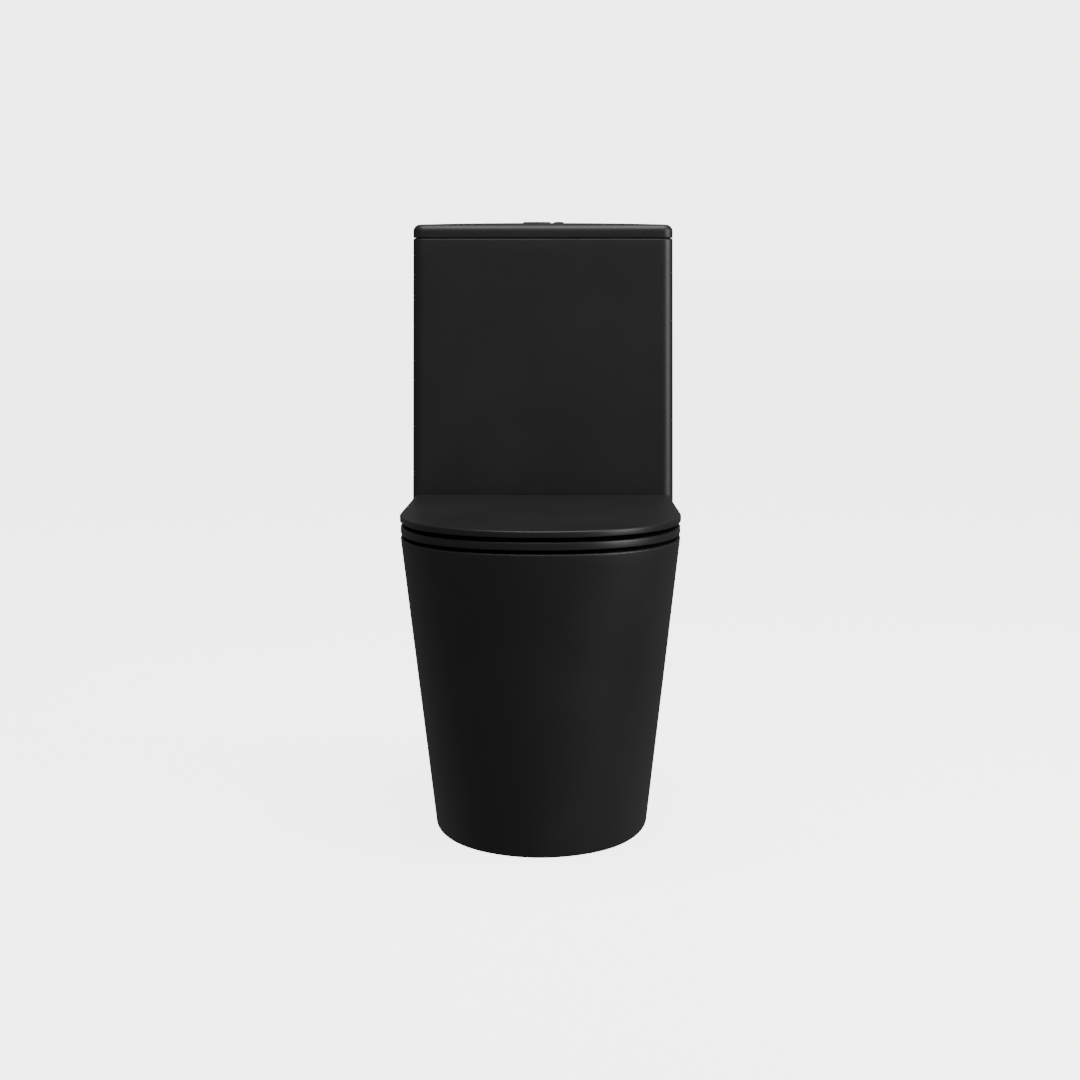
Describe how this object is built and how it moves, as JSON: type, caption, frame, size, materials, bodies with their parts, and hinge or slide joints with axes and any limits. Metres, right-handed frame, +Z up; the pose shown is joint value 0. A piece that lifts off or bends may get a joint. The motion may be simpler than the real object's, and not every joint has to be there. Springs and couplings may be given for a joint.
{
  "type": "close coupled toilet",
  "caption": "Black back-to-wall toilet with close coupled cistern, dual flush push button and slim soft-close seat and lid.",
  "frame": {"origin": "on the floor, midway between the left and right sides and midway between the wall plane and the seat lid's front edge", "axes": "+Z up, +X to the right as seen from the front, +Y towards the wall behind, so the toilet faces -Y"},
  "size_m": [0.371, 0.62, 0.8186],
  "materials": {
    "black_ceramic": "satin black glaze",
    "black_duroplast": "satin black moulded duroplast",
    "black_button_plastic": "satin black",
    "white_plastic": "moulded, semi-matt",
    "grey_plastic": "moulded, semi-matt",
    "blue_plastic": "moulded, semi-matt",
    "red_rubber": "moulded",
    "black_rubber": "matt",
    "steel": "stainless",
    "black_metal": "satin black coated zinc"
  },
  "bodies": {
    "pan_and_cistern": {"pan": "black_ceramic", "cistern_body": "black_ceramic", "coupling_doughnut": "black_rubber", "coupling_cone_washer_left": "black_rubber", "coupling_cone_washer_right": "black_rubber", "coupling_bolt_left": "steel", "coupling_bolt_right": "steel", "coupling_wing_nut_left": "white_plastic", "coupling_wing_nut_right": "white_plastic", "flush_valve_base": "white_plastic", "flush_valve_base_washer": "black_rubber", "flush_valve_backnut": "white_plastic", "flush_valve_tower": "white_plastic", "full_lever_pin": "steel", "half_lever_pin": "steel", "fill_valve_body": "white_plastic", "fill_valve_washer": "black_rubber", "fill_valve_backnut": "white_plastic", "fill_lever_pin": "steel", "hinge_base_left": "black_metal", "hinge_base_right": "black_metal", "hinge_bolt_left": "steel", "hinge_bolt_right": "steel", "hinge_expander_left": "black_rubber", "hinge_expander_right": "black_rubber", "hinge_pin_left": "steel", "hinge_pin_right": "steel", "floor_bracket_left": "white_plastic", "floor_bracket_right": "white_plastic", "side_screw_left": "steel", "side_screw_right": "steel", "side_screw_cap_left": "black_ceramic", "side_screw_cap_right": "black_ceramic"},
    "seat_ring": {"seat_ring": "black_duroplast", "ring_damper_left": "grey_plastic", "ring_damper_right": "grey_plastic", "ring_bumper_front_left": "black_rubber", "ring_bumper_front_right": "black_rubber", "ring_bumper_back_left": "black_rubber", "ring_bumper_back_right": "black_rubber"},
    "seat_lid": {"seat_lid": "black_duroplast", "lid_damper_left": "grey_plastic", "lid_damper_right": "grey_plastic", "lid_bumper_left": "black_rubber", "lid_bumper_right": "black_rubber"},
    "cistern_lid": {"cistern_lid": "black_ceramic", "flush_button_bezel": "black_button_plastic", "flush_button_nut": "white_plastic", "full_button_spring": "steel", "half_button_spring": "steel"},
    "full_button": {"full_flush_button": "black_button_plastic", "full_flush_rod": "grey_plastic"},
    "half_button": {"half_flush_button": "black_button_plastic", "half_flush_rod": "blue_plastic"},
    "full_lever": {"full_flush_lever": "grey_plastic"},
    "half_lever": {"half_flush_lever": "blue_plastic"},
    "plunger": {"flush_valve_plunger": "grey_plastic", "flush_valve_seal": "red_rubber"},
    "float": {"fill_float": "blue_plastic"},
    "fill_lever": {"fill_lever": "grey_plastic"}
  },
  "joints": [
    {"name": "cistern_lid_lift", "type": "slide", "parent": "pan_and_cistern", "child": "cistern_lid", "axis": [0, 0, 1], "range_m": [0, 0.12]},
    {"name": "full_flush_press", "type": "slide", "parent": "cistern_lid", "child": "full_button", "axis": [0, 0, 1], "range_m": [-0.006, 0], "stiffness_N_per_m": 300, "springref_m": 0.004, "deforming": ["full_button_spring"]},
    {"name": "half_flush_press", "type": "slide", "parent": "cistern_lid", "child": "half_button", "axis": [0, 0, 1], "range_m": [-0.006, 0], "stiffness_N_per_m": 300, "springref_m": 0.004, "deforming": ["half_button_spring"]},
    {"name": "full_lever_turn", "type": "hinge", "parent": "pan_and_cistern", "child": "full_lever", "pos_m": [-0.012, 0.241, 0.7249], "axis": [1, 0, 0], "range_deg": [0, 17.3]},
    {"name": "half_lever_turn", "type": "hinge", "parent": "pan_and_cistern", "child": "half_lever", "pos_m": [0.018, 0.241, 0.7249], "axis": [1, 0, 0], "range_deg": [0, 17.3]},
    {"name": "flush_plunger_lift", "type": "slide", "parent": "pan_and_cistern", "child": "plunger", "axis": [0, 0, 1], "range_m": [0, 0.006]},
    {"name": "fill_float_fall", "type": "slide", "parent": "pan_and_cistern", "child": "float", "axis": [0, 0, 1], "range_m": [-0.015, 0]},
    {"name": "fill_lever_turn", "type": "hinge", "parent": "pan_and_cistern", "child": "fill_lever", "pos_m": [-0.118, 0.224, 0.722], "axis": [0, 1, 0], "range_deg": [-27, 0]},
    {"name": "seat_ring_hinge", "type": "hinge", "parent": "pan_and_cistern", "child": "seat_ring", "pos_m": [0, 0.107, 0.4225], "axis": [1, 0, 0], "range_deg": [-92, 0]},
    {"name": "seat_lid_hinge", "type": "hinge", "parent": "seat_ring", "child": "seat_lid", "pos_m": [0, 0.107, 0.4225], "axis": [-1, 0, 0], "range_deg": [0, 92]}
  ],
  "couplings": [
    {"joint": "full_lever_turn", "follows": "full_flush_press", "rad_per_m": -50},
    {"joint": "flush_plunger_lift", "follows": "full_flush_press", "ratio": -1},
    {"joint": "half_lever_turn", "follows": "half_flush_press", "rad_per_m": -50},
    {"joint": "fill_lever_turn", "follows": "fill_float_fall", "rad_per_m": 31.25}
  ]
}
